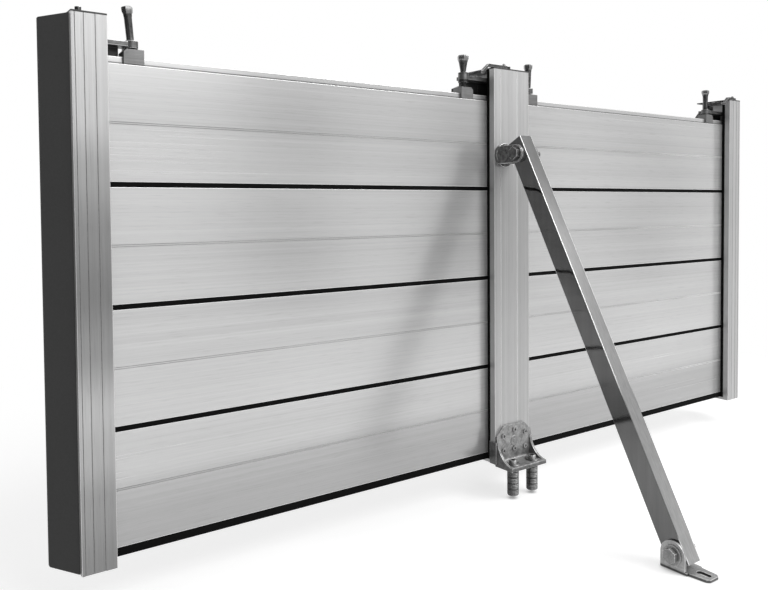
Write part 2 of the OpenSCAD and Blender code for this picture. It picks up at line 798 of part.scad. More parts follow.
from_post_front() at_end(-1) end_post();  // left_post
from_post_front() at_end(-1) end_cap();  // left_post_cap
from_post_front() at_end(-1) wall_seal();  // left_wall_seal
from_post_front() at_end(-1) end_channel_seals();  // left_channel_seals
from_post_front() middle_post();
from_post_front() middle_cap();  // middle_post_cap
from_post_front() middle_channel_seals();
from_post_front() at_end(1) end_post();  // right_post
from_post_front() at_end(1) end_cap();  // right_post_cap
from_post_front() at_end(1) wall_seal();  // right_wall_seal
from_post_front() at_end(1) end_channel_seals();  // right_channel_seals
from_post_front() plank(-1, 1);  // left_plank_1
from_post_front() plank(-1, 2);  // left_plank_2
from_post_front() plank(-1, 3);  // left_plank_3
from_post_front() plank(-1, 4);  // left_plank_4
from_post_front() plank(1, 1);  // right_plank_1
from_post_front() plank(1, 2);  // right_plank_2
from_post_front() plank(1, 3);  // right_plank_3
from_post_front() plank(1, 4);  // right_plank_4
from_post_front() plank_seals(-1);  // left_plank_seals
from_post_front() plank_seals(1);  // right_plank_seals
from_post_front() bottom_seal(-1);  // left_bottom_seal
from_post_front() bottom_seal(1);  // right_bottom_seal
from_post_front() at_clamp(0) clamp_arm(0);  // left_clamp_arm
from_post_front() at_clamp(1) clamp_arm(1);  // mid_left_clamp_arm
from_post_front() at_clamp(2) clamp_arm(2);  // mid_right_clamp_arm
from_post_front() at_clamp(3) clamp_arm(3);  // right_clamp_arm
from_post_front() at_clamp(0) pressing_block(0);  // left_pressing_block
from_post_front() at_clamp(1) pressing_block(1);  // mid_left_pressing_block
from_post_front() at_clamp(2) pressing_block(2);  // mid_right_pressing_block
from_post_front() at_clamp(3) pressing_block(3);  // right_pressing_block
from_post_front() at_clamp(0) hand_screw(0);  // left_hand_screw
from_post_front() at_clamp(1) hand_screw(1);  // mid_left_hand_screw
from_post_front() at_clamp(2) hand_screw(2);  // mid_right_hand_screw
from_post_front() at_clamp(3) hand_screw(3);  // right_hand_screw
from_post_front() cap_screws();
from_shelf() foot_bracket();
from_shelf() foot_bracket_screws();
from_shelf() floor_anchors();
from_post_front() brace_bracket();
from_post_front() brace_upper_pin();
from_post_front() brace_tube();
from_post_front() brace_foot();
from_post_front() brace_foot_pin();
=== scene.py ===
"""Looks of the demountable flood barrier: rounded edges, fine hardware, materials, studio and camera."""
import json
import math

import bmesh
import bpy
from mathutils import Matrix, Vector


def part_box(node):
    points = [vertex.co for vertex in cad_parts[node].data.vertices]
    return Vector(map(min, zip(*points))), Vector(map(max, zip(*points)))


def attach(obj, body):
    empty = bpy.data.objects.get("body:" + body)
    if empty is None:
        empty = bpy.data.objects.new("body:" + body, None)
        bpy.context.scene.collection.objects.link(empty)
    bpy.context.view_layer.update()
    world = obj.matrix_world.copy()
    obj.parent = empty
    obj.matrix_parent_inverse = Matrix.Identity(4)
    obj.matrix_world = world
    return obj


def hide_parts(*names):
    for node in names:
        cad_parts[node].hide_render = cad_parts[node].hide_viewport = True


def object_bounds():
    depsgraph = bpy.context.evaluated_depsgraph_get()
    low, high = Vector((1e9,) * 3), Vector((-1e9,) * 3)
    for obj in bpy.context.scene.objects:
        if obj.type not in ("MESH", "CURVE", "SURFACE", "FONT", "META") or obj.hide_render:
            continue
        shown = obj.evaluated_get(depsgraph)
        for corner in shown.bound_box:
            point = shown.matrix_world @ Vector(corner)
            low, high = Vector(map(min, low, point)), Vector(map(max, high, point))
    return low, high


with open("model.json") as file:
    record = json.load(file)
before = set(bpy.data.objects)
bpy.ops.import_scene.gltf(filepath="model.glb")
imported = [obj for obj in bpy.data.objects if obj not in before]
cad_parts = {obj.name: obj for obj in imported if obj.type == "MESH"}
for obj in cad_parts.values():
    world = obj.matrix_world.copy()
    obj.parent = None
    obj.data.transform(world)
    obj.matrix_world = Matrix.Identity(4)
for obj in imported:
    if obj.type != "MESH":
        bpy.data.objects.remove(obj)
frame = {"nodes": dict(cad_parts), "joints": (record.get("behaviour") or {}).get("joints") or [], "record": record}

CAD_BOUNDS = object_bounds()
RECORD = frame["record"]
BODY_OF = {node: body for body, nodes in RECORD["behaviour"]["bodies"].items() for node in nodes}
SLOT_OF = {part["node"]: part["material_slot"] for part in RECORD["subparts"]}
JOINTS = {joint["name"]: joint for joint in frame["joints"]}
MM = 0.001
X, Y, Z = range(3)
UP = Vector((0, 0, 1))
WHITE = (1.0, 1.0, 1.0, 1.0)


def is_plank(node):
    """True for the planks and the seals between them."""
    return "_plank_" in node


def even(frequency):
    """The same noise frequency along every axis."""
    return (frequency, frequency, frequency)


# ---- shader building blocks ---------------------------------------------------------------------

FINE_RANGE = (0.25, 0.75)
BROAD_RANGE = (0.3, 0.7)
STREAK_RANGE = (0.56, 0.72)
BROAD_OFFSET = (3.7, 1.3, 5.1)
BAND_OFFSET = (9.1, 2.3, 0.7)
STREAK_OFFSET = (4.4, 8.1, 2.9)
NO_TURN = (0.0, 0.0, 0.0)
UNEVEN_GLOSS = 0.055


def new_material(name):
    """Material with nodes, its tree and its Principled shader."""
    material = bpy.data.materials.new(name)
    material.use_nodes = True
    tree = material.node_tree
    return material, tree, tree.nodes["Principled BSDF"]


def math_node(tree, operation, first, second, clamp=False):
    """Math node fed by sockets or numbers; returns its output."""
    node = tree.nodes.new("ShaderNodeMath")
    node.operation = operation
    node.use_clamp = clamp
    for socket, value in zip(node.inputs, (first, second)):
        if isinstance(value, (int, float)):
            socket.default_value = value
        else:
            tree.links.new(value, socket)
    return node.outputs[0]


def times(tree, first, second):
    """Product of two factors."""
    return math_node(tree, "MULTIPLY", first, second)


def ranged(tree, value, low, high, source=(0.0, 1.0)):
    """Value mapped from the source range to low..high."""
    node = tree.nodes.new("ShaderNodeMapRange")
    node.inputs["From Min"].default_value = source[0]
    node.inputs["From Max"].default_value = source[1]
    node.inputs["To Min"].default_value = low
    node.inputs["To Max"].default_value = high
    tree.links.new(value, node.inputs["Value"])
    return node.outputs["Result"]


def varied(tree, value, spread, source):
    """Factor around 1 from a noise."""
    return ranged(tree, value, 1 - spread, 1 + spread, source)


def place(tree):
    """Point of the surface in the shared frame, at rest."""
    return tree.nodes.new("ShaderNodeTexCoord").outputs["Object"]


def axis_value(tree, axis):
    """One coordinate of the surface point."""
    node = tree.nodes.new("ShaderNodeSeparateXYZ")
    tree.links.new(place(tree), node.inputs[0])
    return node.outputs[axis]


def noise(tree, scale, detail=3.0, turn=NO_TURN, offset=(0.0, 0.0, 0.0)):
    """Noise between 0 and 1 with a frequency per metre for each axis."""
    mapping = tree.nodes.new("ShaderNodeMapping")
    mapping.inputs["Rotation"].default_value = turn
    mapping.inputs["Scale"].default_value = scale
    mapping.inputs["Location"].default_value = offset
    tree.links.new(place(tree), mapping.inputs["Vector"])
    texture = tree.nodes.new("ShaderNodeTexNoise")
    texture.inputs["Scale"].default_value = 1.0
    texture.inputs["Detail"].default_value = detail
    texture.inputs["Roughness"].default_value = 0.6
    tree.links.new(mapping.outputs[0], texture.inputs["Vector"])
    return texture.outputs[0]


def tinted(tree, shader, level, factor):
    """Base colour: a neutral grey times a factor."""
    mix = tree.nodes.new("ShaderNodeMix")
    mix.data_type = "RGBA"
    mix.blend_type = "MULTIPLY"
    mix.inputs["Factor"].default_value = 1.0
    mix.inputs[6].default_value = (level, level, level, 1.0)
    tree.links.new(factor, mix.inputs[7])
    tree.links.new(mix.outputs[2], shader.inputs["Base Color"])


def bumped(tree, shader, height, depth):
    """Bump of the given depth in metres."""
    node = tree.nodes.new("ShaderNodeBump")
    node.inputs["Strength"].default_value = 1.0
    node.inputs["Distance"].default_value = depth
    tree.links.new(height, node.inputs["Height"])
    tree.links.new(node.outputs["Normal"], shader.inputs["Normal"])


def tone_curve(tree, axis, stops):
    """Grey factor along one axis, from (place in metres, factor) stops."""
    low, high = stops[0][0], stops[-1][0]
    ramp = tree.nodes.new("ShaderNodeValToRGB")
    ramp.color_ramp.interpolation = "EASE"
    elements = ramp.color_ramp.elements
    while len(elements) < len(stops):
        elements.new(0.5)
    top = max(factor for _, factor in stops)
    for element, (at, factor) in zip(elements, stops):
        element.position = (at - low) / (high - low)
        element.color = (factor / top, factor / top, factor / top, 1.0)
    tree.links.new(ranged(tree, axis_value(tree, axis), 0.0, 1.0, (low, high)), ramp.inputs[0])
    return times(tree, ramp.outputs[0], top)


def on_lines(tree, axis, places, half_width):
    """1 on lines across the given axis, 0 elsewhere."""
    value = axis_value(tree, axis)
    total = None
    for at in places:
        near = math_node(tree, "COMPARE", value, at)
        near.node.inputs[2].default_value = half_width
        total = near if total is None else math_node(tree, "MAXIMUM", total, near)
    return total


def surface(name, level, grain, *, spread, metallic, roughness, bump, specular=0.5, gloss_spread=1.0,
            patch=0.06, patch_scale=even(3.0), patch_turn=NO_TURN, curve=None,
            bands=None, band_spread=0.0, streaks=None, streak_depth=0.0, lines=None):
    """Metal, paint or rubber with uneven tone and gloss and a fine bump.

    level is its grey. grain, patch_scale, bands and streaks are noise frequencies per metre, and spread,
    patch, band_spread and streak_depth say how far each changes the tone. curve is (axis, stops) and
    lines is (axis, places, half width, factor)."""
    material, tree, shader = new_material(name)
    fine = noise(tree, grain)
    broad = noise(tree, patch_scale, 2.0, patch_turn, BROAD_OFFSET)
    tone = times(tree, varied(tree, fine, spread, FINE_RANGE), varied(tree, broad, patch, BROAD_RANGE))
    if curve:
        tone = times(tree, tone, tone_curve(tree, *curve))
    if bands:
        drawn = noise(tree, bands, 4.0, NO_TURN, BAND_OFFSET)
        tone = times(tree, tone, varied(tree, drawn, band_spread, BROAD_RANGE))
    if streaks:
        drag = noise(tree, streaks, 2.0, NO_TURN, STREAK_OFFSET)
        tone = times(tree, tone, ranged(tree, drag, 1.0, 1 - streak_depth, STREAK_RANGE))
    if lines:
        axis, places, half_width, factor = lines
        tone = times(tree, tone, ranged(tree, on_lines(tree, axis, places, half_width), 1.0, factor))
    tinted(tree, shader, level, tone)
    uneven = UNEVEN_GLOSS * gloss_spread
    gloss = math_node(tree, "ADD", ranged(tree, fine, -uneven, uneven), ranged(tree, broad, -uneven, uneven))
    tree.links.new(math_node(tree, "ADD", gloss, roughness, clamp=True), shader.inputs["Roughness"])
    shader.inputs["Metallic"].default_value = metallic
    shader.inputs["Specular IOR Level"].default_value = specular
    bumped(tree, shader, fine, bump)
    return material


# ---- materials ----------------------------------------------------------------------------------

# Noise frequencies per metre along X, Y and Z: drawn along X or along Z, fine and coarse mottle.
ALONG_X = (0.7, 150.0, 420.0)
ALONG_Z = (420.0, 420.0, 0.7)
MOTTLE = even(260.0)
COARSE = even(90.0)

# Uneven tone that the surroundings give the metal, painted in as reflection and shade: (place in metres, factor)
# along X or Z.
PLANK_TONES = ((0.0, 0.76), (0.10, 0.80), (0.15, 1.03), (0.25, 1.12), (0.6, 1.10), (0.75, 1.03),
               (0.83, 1.03))
PLANK_LINE_TONES = ((-0.9, 0.85), (-0.4, 0.95), (0.1, 1.1), (0.9, 1.5))
LEFT_POST_TONES = ((0.0, 0.50), (0.12, 0.66), (0.19, 0.92), (0.26, 1.05), (0.36, 0.62), (0.45, 0.45),
                   (0.545, 0.52), (0.64, 0.72), (0.73, 1.0), (0.89, 0.98))
MIDDLE_POST_TONES = ((0.0, 0.98), (0.3, 0.97), (0.45, 0.9), (0.6, 0.84), (0.74, 1.04), (0.89, 1.12))
BRACKET_TONES = ((-0.001, 0.35), (0.005, 0.40), (0.0085, 1.0), (0.10, 1.0))
ANCHOR_TONES = ((-0.043, 0.30), (-0.037, 0.85), (-0.032, 1.35), (-0.026, 1.1), (-0.018, 0.35),
                (0.017, 0.30), (0.023, 0.85), (0.028, 1.35), (0.034, 1.1), (0.043, 0.35))
TUBE_TONES = ((-0.05, 0.85), (0.25, 0.60), (0.45, 0.42), (0.7, 0.15))
TUBE_FLANK_TONES = ((-0.05, 0.75), (0.15, 0.9), (0.3, 1.4), (0.7, 1.45))
TUBE_EDGE_TONES = ((-0.06, 1.0), (-0.02, 1.0), (0.0, 0.15), (0.2, 0.15), (0.27, 1.0), (0.75, 1.0))
FOOT_TONES = ((-0.067, 0.22), (-0.0625, 0.25), (-0.0612, 1.05), (-0.056, 1.2), (-0.055, 0.95), (0.0, 0.95))
# The same for a clamp arm, from the underside of its bar up.
ARM_TONES = ((-30 * MM, 0.30), (0.0, 0.35), (1 * MM, 1.5), (12 * MM, 1.5), (14 * MM, 0.8), (45 * MM, 0.8))

# Places of the middle post's two lines of painted highlight, and their half width.
MIDDLE_HIGHLIGHT_LINES = (-33.8 * MM, 17.0 * MM)
MIDDLE_HIGHLIGHT_HALF_W = 0.9 * MM
# Line of painted shade just above the top planks' shoulder: its rise and its half width.
SHOULDER_SHADE_UP = 1.2 * MM
SHOULDER_SHADE_HALF_W = 1.4 * MM
ARM_GAPS = {"left": 5 * MM, "mid_left": 18 * MM, "mid_right": 5 * MM, "right": 5 * MM}
ARM_OVERLAP = 1.0 * MM


def plank_face():
    """Extruded aluminium of the planks, with its tone by height as painted reflection and shade, broad diagonal
    patches as painted reflection, and a dark line of painted shade where the top planks' tongue begins.
    """
    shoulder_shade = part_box("left_pressing_block")[0].z + SHOULDER_SHADE_UP
    return surface("plank_face", 0.58, ALONG_X, spread=0.06, metallic=0.5, roughness=0.24, bump=0.01 * MM,
                   patch=0.06, patch_scale=(1.3, 1.3, 2.4), patch_turn=(0.0, 0.7, 0.0),
                   bands=(0.25, 1.0, 55.0), band_spread=0.05, curve=(Z, PLANK_TONES),
                   streaks=(22.0, 1.0, 420.0), streak_depth=0.08,
                   lines=(Z, [shoulder_shade], SHOULDER_SHADE_HALF_W, 0.45))


def faint_line():
    """Walls of the planks' shallow lines, darker than the face as painted shade and lighter towards +X as painted
    light from the right.
    """
    return surface("faint_line", 0.51, MOTTLE, spread=0.1, metallic=0.3, roughness=0.5, bump=0.01 * MM,
                   patch=0.2, patch_scale=(4.0, 1.0, 5.0), curve=(X, PLANK_LINE_TONES))


def aluminium_edge_highlight():
    """Painted highlight on the rounded edges of the extrusions."""
    return surface("aluminium_edge_highlight", 0.85, MOTTLE, spread=0.04, metallic=0.4, roughness=0.30, bump=0.01 * MM)


def post_face():
    """Extruded aluminium of the right post."""
    return surface("post_face", 0.52, ALONG_Z, spread=0.05, metallic=0.45, roughness=0.34, bump=0.02 * MM,
                   patch=0.03, bands=(120.0, 1.0, 0.3), band_spread=0.07,
                   streaks=(330.0, 1.0, 16.0), streak_depth=0.10)


def left_post_face():
    """The left post's aluminium, with painted reflection: darker where it would mirror dark surroundings."""
    return surface("left_post_face", 0.52, ALONG_Z, spread=0.05, metallic=0.45, roughness=0.34,
                   bump=0.02 * MM, patch=0.03, bands=(130.0, 1.0, 0.3), band_spread=0.07,
                   curve=(Z, LEFT_POST_TONES), streaks=(330.0, 1.0, 16.0), streak_depth=0.12)


def middle_post_face():
    """The middle post's aluminium, with its tone by height as painted reflection and two pale lines of painted
    highlight.
    """
    return surface("middle_post_face", 0.50, ALONG_Z, spread=0.05, metallic=0.45, roughness=0.34,
                   bump=0.02 * MM, patch=0.03, bands=(130.0, 1.0, 0.3), band_spread=0.09,
                   curve=(Z, MIDDLE_POST_TONES), streaks=(330.0, 1.0, 16.0), streak_depth=0.10,
                   lines=(X, MIDDLE_HIGHLIGHT_LINES, MIDDLE_HIGHLIGHT_HALF_W, 1.35))


def line_shade():
    """Shaded walls of the end posts' drawn lines."""
    return surface("line_shade", 0.30, MOTTLE, spread=0.2, metallic=0.2, roughness=0.6, bump=0.01 * MM,
                   patch=0.15, patch_scale=(3.0, 3.0, 9.0))


def black_rubber():
    """Seals, and painted shade on the planks' rounded corners where they turn into the seams."""
    return surface("black_rubber", 0.004, MOTTLE, spread=0.30, metallic=0.0, roughness=0.8, bump=0.05 * MM,
                   specular=0.08)


def wall_rubber():
    """Sheets on the end posts' outer faces."""
    return surface("wall_rubber", 0.085, MOTTLE, spread=0.06, metallic=0.0, roughness=0.9, bump=0.06 * MM,
                   specular=0.15)


def cap_paint():
    """Dark paint of the cap plates."""
    return surface("cap_paint", 0.05, MOTTLE, spread=0.15, metallic=0.2, roughness=0.5, bump=0.03 * MM)


def worn_cast():
    """Cast iron of the brace bracket, spotted where the zinc is left."""
    return surface("worn_cast", 0.12, COARSE, spread=0.50, metallic=0.25, roughness=0.30, bump=0.3 * MM,
                   patch=0.60, patch_scale=even(130.0))


def worn_edge():
    """Bare metal on the edges of steel."""
    return surface("worn_edge", 0.78, MOTTLE, spread=0.12, metallic=0.6, roughness=0.28, bump=0.02 * MM)


def crease_shade():
    """Painted shade in the inner corners."""
    return surface("crease_shade", 0.02, MOTTLE, spread=0.3, metallic=0.0, roughness=0.8, bump=0.02 * MM)


def forged_steel():
    """Grips and threads of the hand screws."""
    return surface("forged_steel", 0.10, COARSE, spread=0.35, metallic=0.7, roughness=0.26, bump=0.12 * MM,
                   patch=0.35, patch_scale=even(60.0))


def screw_head_steel():
    """Lighter heads of the hand screws."""
    return surface("screw_head_steel", 0.27, COARSE, spread=0.25, metallic=0.8, roughness=0.26,
                   bump=0.12 * MM, patch=0.30, patch_scale=even(60.0))


def arm_steel(name):
    """A clamp arm's steel, light on its bar as painted highlight and dark on the jaw below as painted shade."""
    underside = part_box(name + "_pressing_block")[1].z + ARM_GAPS[name] - ARM_OVERLAP
    tones = [(underside + rise, factor) for rise, factor in ARM_TONES]
    return surface(name + "_arm_steel", 0.10, COARSE, spread=0.35, metallic=0.5, roughness=0.36,
                   bump=0.12 * MM, patch=0.35, patch_scale=even(60.0), curve=(Z, tones))


def milled_steel():
    """Pressing blocks, milled across."""
    return surface("milled_steel", 0.20, (14.0, 14.0, 900.0), spread=0.28, metallic=0.5, roughness=0.40,
                   bump=0.04 * MM, patch=0.10, patch_scale=even(60.0))


def zinc_steel():
    """Zinc-plated small parts."""
    return surface("zinc_steel", 0.27, MOTTLE, spread=0.22, metallic=0.55, roughness=0.36, bump=0.14 * MM,
                   patch=0.22, patch_scale=even(55.0))


def bracket_steel():
    """Zinc of the foot bracket, with the underside in shade."""
    return surface("bracket_steel", 0.30, MOTTLE, spread=0.30, metallic=0.45, roughness=0.36,
                   bump=0.18 * MM, patch=0.32, patch_scale=even(75.0), curve=(Z, BRACKET_TONES))


def zinc_flank_shade():
    """Zinc on the sides of the foot bracket, darker as painted shade."""
    return surface("zinc_flank_shade", 0.13, MOTTLE, spread=0.35, metallic=0.3, roughness=0.45, bump=0.18 * MM,
                   patch=0.35, patch_scale=even(75.0))


def anchor_steel():
    """Floor anchors, with a painted highlight along the middle of each round and painted shade at its sides."""
    return surface("anchor_steel", 0.36, MOTTLE, spread=0.25, metallic=0.6, roughness=0.26, bump=0.10 * MM,
                   patch=0.25, patch_scale=even(75.0), curve=(X, ANCHOR_TONES))


def foot_steel():
    """The brace foot's zinc, with the underside in shade."""
    return surface("foot_steel", 0.40, MOTTLE, spread=0.20, metallic=0.5, roughness=0.36, bump=0.14 * MM,
                   patch=0.20, patch_scale=even(55.0), curve=(Z, FOOT_TONES))


def foot_edge():
    """Edges of the brace foot, lighter than its body, with the underside in painted shade as on the body."""
    return surface("foot_edge", 0.70, MOTTLE, spread=0.12, metallic=0.5, roughness=0.30, bump=0.02 * MM,
                   curve=(Z, FOOT_TONES))


def brushed_steel():
    """Front and back of the brace tube, darker towards the top as painted reflection and shade."""
    return surface("brushed_steel", 0.48, (400.0, 90.0, 30.0), spread=0.16, metallic=0.5, roughness=0.32,
                   bump=0.02 * MM, curve=(Z, TUBE_TONES))


def polished_steel_in_shade():
    """Mirror-like drawn steel of the brace tube's flanks, darker than its front as painted shade, and lighter
    towards the top as painted reflection.
    """
    return surface("polished_steel_in_shade", 0.155, (500.0, 60.0, 3.0), spread=0.12, metallic=1.0, roughness=0.07,
                   bump=0.002 * MM, gloss_spread=0.25, curve=(Z, TUBE_FLANK_TONES))


def tube_edge_highlight():
    """Painted highlight on the edges of the brace tube, but for a stretch of painted shade."""
    return surface("tube_edge_highlight", 0.95, MOTTLE, spread=0.05, metallic=0.3, roughness=0.3, bump=0.01 * MM,
                   curve=(Z, TUBE_EDGE_TONES))


def make_materials():
    """Body, edge, inner-corner and seam materials of each material slot, and of some single nodes."""
    rubber = black_rubber()
    wall = wall_rubber()
    cap = cap_paint()
    milled = milled_steel()
    edge_highlight = aluminium_edge_highlight()
    worn = worn_edge()
    inner = crease_shade()
    shade = line_shade()
    forged = forged_steel()
    anchor = anchor_steel()
    spotted = worn_cast()
    materials = {
        # The planks' fourth material, the seal rubber, paints shade on their rounded corners at the seams.
        "plank_aluminium": (plank_face(), edge_highlight, faint_line(), rubber),
        "post_aluminium": (post_face(), edge_highlight, shade),
        "left_post": (left_post_face(), edge_highlight, shade),
        "middle_post": (middle_post_face(), edge_highlight, edge_highlight),
        "black_rubber": (rubber, rubber, rubber),
        "wall_rubber": (wall, wall, wall),
        "cap_paint": (cap, cap, inner),
        "hand_screw": (forged, screw_head_steel(), inner),
        "cap_screws": (forged, worn, inner),
        "block_steel": (milled, milled, inner),
        "zinc_steel": (zinc_steel(), worn, inner),
        "foot_bracket": (bracket_steel(), worn, inner),
        "floor_anchors": (anchor, anchor, inner),
        "brace_bracket": (spotted, worn, inner),
        "brace_upper_pin": (spotted, worn, inner),
        "brace_foot": (foot_steel(), foot_edge(), inner),
        "stainless": (brushed_steel(), tube_edge_highlight(), inner),
    }
    for name in ARM_GAPS:
        materials[name + "_clamp_arm"] = (arm_steel(name), worn, inner)
    return materials


def finish_of(materials, node):
    """Materials of a node, by its own name or by its slot."""
    return materials[node if node in materials else SLOT_OF[node]]


# ---- geometry helpers ---------------------------------------------------------------------------

SHARP = math.radians(28)
FLAT = math.radians(0.5)
SAME_POINT = 0.002 * MM
GROOVE_W = 1.3 * MM
LONG_EDGE = 300 * MM
SHORT_EDGE_W = 0.9 * MM
CREASE_W = 0.6 * MM
SEAM_DEPTH = 2.5 * MM
SLOT_HALF_W = 7 * MM
SLOT_SPAN = (4 * MM, 40 * MM)
# Limits on the size of one part of a face's normal, by which faces are told apart.
UPRIGHT_Z = 0.1
SEAM_TURN_Z = (0.5, 0.999)
FLANK_X = 0.99
BODY, EDGE, CREASE, SEAM = range(4)
EDGE_WIDTH = {
    "plank_aluminium": 1.8 * MM,
    "post_aluminium": 0.6 * MM,
    "black_rubber": 0.5 * MM,
    "wall_rubber": 1.5 * MM,
    "dark_cast": 0.9 * MM,
    "cap_paint": 0.5 * MM,
    "block_steel": 0.7 * MM,
    "zinc_steel": 0.8 * MM,
    "stainless": 1.3 * MM,
}
OWN_WIDTH = {
    "foot_bracket_screws": 0.4 * MM,
    "cap_screws": 0.5 * MM,
    "brace_foot_pin": 0.6 * MM,
    "brace_upper_pin": 0.6 * MM,
    "foot_bracket": 1.0 * MM,
}


def finish_mesh(bm, name, materials):
    """Object from a bmesh, smooth with sharp corners kept."""
    for edge in bm.edges:
        edge.smooth = edge.calc_face_angle(0.0) < SHARP
    for face in bm.faces:
        face.smooth = True
    mesh = bpy.data.meshes.new(name)
    bm.to_mesh(mesh)
    bm.free()
    for material in materials:
        mesh.materials.append(material)
    piece = bpy.data.objects.new(name, mesh)
    bpy.context.scene.collection.objects.link(piece)
    return piece


def stand_for(piece, node):
    """The piece rides with the CAD node's body and replaces it."""
    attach(piece, BODY_OF[node])
    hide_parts(node)


def clean_mesh(node):
    """The CAD node's mesh with doubles and flat edges dissolved."""
    bm = bmesh.new()
    bm.from_mesh(frame["nodes"][node].data)
    bmesh.ops.remove_doubles(bm, verts=bm.verts, dist=SAME_POINT)
    bmesh.ops.dissolve_limit(bm, angle_limit=FLAT, verts=bm.verts, edges=bm.edges)
    return bm


def is_sharp(edge):
    """True where two faces meet at a corner."""
    return edge.is_manifold and edge.calc_face_angle(0.0) > SHARP


def is_fine_groove(edge):
    """True where the edge borders a long face narrower than the fine lines' depth."""
    length = edge.calc_length()
    return any(face.calc_area() < GROOVE_W * length for face in edge.link_faces)


def is_slot_wall(face):
    """True for the inner walls of the slot in the brace foot's tongue."""
    low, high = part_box("brace_foot")
    center = face.calc_center_median()
    near_middle = abs(center.x - (low.x + high.x) / 2) < SLOT_HALF_W
    upright = abs(face.normal.z) < UPRIGHT_Z
    return near_middle and upright and SLOT_SPAN[0] < center.y - low.y < SLOT_SPAN[1]


def mark_faces(bm, node, grooves):
    """Gives the fine grooves and the foot's slot the inner-corner material, which paints shade on them, all else
    the main one.
    """
    for face in bm.faces:
        longest = max(edge.calc_length() for edge in face.edges)
        in_groove = grooves and face.calc_area() < GROOVE_W * longest
        in_slot = node == "brace_foot" and is_slot_wall(face)
        face.material_index = CREASE if in_groove or in_slot else BODY


def bevel(bm, edges, width, segments, clamped, material):
    """Rounds edges and gives the new faces a material."""
    if edges:
        bmesh.ops.bevel(bm, geom=edges, offset=width, segments=segments, profile=0.5,
                        affect="EDGES", clamp_overlap=clamped, material=material)


def darken_seam_corners(bm, node):
    """Gives the rounded long corners of a plank the seam material, as painted shade, where they turn into the
    seams.
    """
    low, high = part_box(node)
    for face in bm.faces:
        center = face.calc_center_median()
        near_surface = min(center.y - low.y, high.y - center.y) < SEAM_DEPTH
        turns_in = SEAM_TURN_Z[0] < abs(face.normal.z) < SEAM_TURN_Z[1]
        if face.material_index == EDGE and near_surface and turns_in:
            face.material_index = SEAM


def rounded_copy(node, materials):
    """Copy of a CAD node standing for it: rounded edges, painted shade in the inner corners and fine grooves.

    Long edges are rounded first and in full, because one tight short edge would limit them all."""
    slot = SLOT_OF[node]
    width = OWN_WIDTH.get(node, EDGE_WIDTH[slot])
    segments = 3 if slot == "plank_aluminium" else 2
    grooves = is_plank(node) or node in ("left_post", "right_post")
    bm = clean_mesh(node)
    mark_faces(bm, node, grooves)
    sharp = [edge for edge in bm.edges if is_sharp(edge) and not (grooves and is_fine_groove(edge))]
    outer = [edge for edge in sharp if edge.is_convex]
    long_edges = [edge for edge in outer if edge.calc_length() > LONG_EDGE]
    bevel(bm, long_edges, width, segments, False, EDGE)
    short_edges = [edge for edge in outer if edge.is_valid]
    bevel(bm, short_edges, min(width, SHORT_EDGE_W), segments, True, EDGE)
    inner = [edge for edge in bm.edges if is_sharp(edge) and not edge.is_convex
             and not (grooves and is_fine_groove(edge))]
    bevel(bm, inner, min(width, CREASE_W), 1, True, CREASE)
    if is_plank(node):
        darken_seam_corners(bm, node)
    bmesh.ops.triangulate(bm, faces=[face for face in bm.faces if len(face.verts) > 4])
    piece = finish_mesh(bm, node + "_piece", materials)
    piece.modifiers.new("even_normals", "WEIGHTED_NORMAL").keep_sharp = True
    stand_for(piece, node)
    return piece


def dress_flanks(piece, material):
    """Gives the left and right faces of a piece a material of their own."""
    piece.data.materials.append(material)
    last = len(piece.data.materials) - 1
    for face in piece.data.polygons:
        if abs(face.normal.x) > FLANK_X and face.material_index == BODY:
            face.material_index = last


def hexagon_reach(angle):
    """Distance to the side of a hexagon with corner radius 1 in that direction."""
    sector = math.radians(60)
    return math.cos(sector / 2) / math.cos(angle % sector - sector / 2)


def ring_points(height, radius, share, sides):
    """Points of one section: a circle, a hexagon, or a share of the way between."""
    points = []
    for step in range(sides):
        angle = 2 * math.pi * step / sides
        reach = radius * (1 + share * (hexagon_reach(angle) - 1))
        points.append((reach * math.cos(angle), reach * math.sin(angle), height))
    return points


def turned(name, sections, materials, sides=48, light_from=math.inf, dark_rings=()):
    """Turned piece along +Z from (height, radius, hexagon share) sections, closed at both ends.

    Faces above a height take the edge material and those between given sections the dark one, painted shade in the
    recesses."""
    bm = bmesh.new()
    rings = [[bm.verts.new(point) for point in ring_points(*section, sides)] for section in sections]
    for index, (lower, upper) in enumerate(zip(rings, rings[1:])):
        for step in range(sides):
            after = (step + 1) % sides
            face = bm.faces.new((lower[step], lower[after], upper[after], upper[step]))
            if lower[step].co.z >= light_from:
                face.material_index = EDGE
            if index in dark_rings:
                face.material_index = CREASE
    bm.faces.new(list(reversed(rings[0])))
    bm.faces.new(rings[-1])
    bmesh.ops.recalc_face_normals(bm, faces=bm.faces)
    return finish_mesh(bm, name, materials)


def joined(name, pieces):
    """One object from several."""
    bpy.ops.object.select_all(action="DESELECT")
    for piece in pieces:
        piece.select_set(True)
    bpy.context.view_layer.objects.active = pieces[0]
    bpy.ops.object.join()
    pieces[0].name = name
    pieces[0].data.name = name
    return pieces[0]


def moved(piece, matrix):
    """Applies a matrix to the piece's mesh and leaves its origin at the shared frame's."""
    piece.data.transform(matrix)
    return piece


# ---- hand screws --------------------------------------------------------------------------------

SCREW_R = 6.0 * MM
SCREW_LIFT = 0.1 * MM
THREAD_PITCH = 1.9 * MM
THREAD_DEPTH = 0.7 * MM
HEAD_H = 16.0 * MM
HEAD_TOP = 71.0 * MM
LIGHT_PART = 0.8 * HEAD_H
# Neck under the head: height from it, step out from the grip's radius, hexagon share.
HEAD_NECK = ((-2.0 * MM, -0.2 * MM, 0.0), (0.0, 0.3 * MM, 0.1))
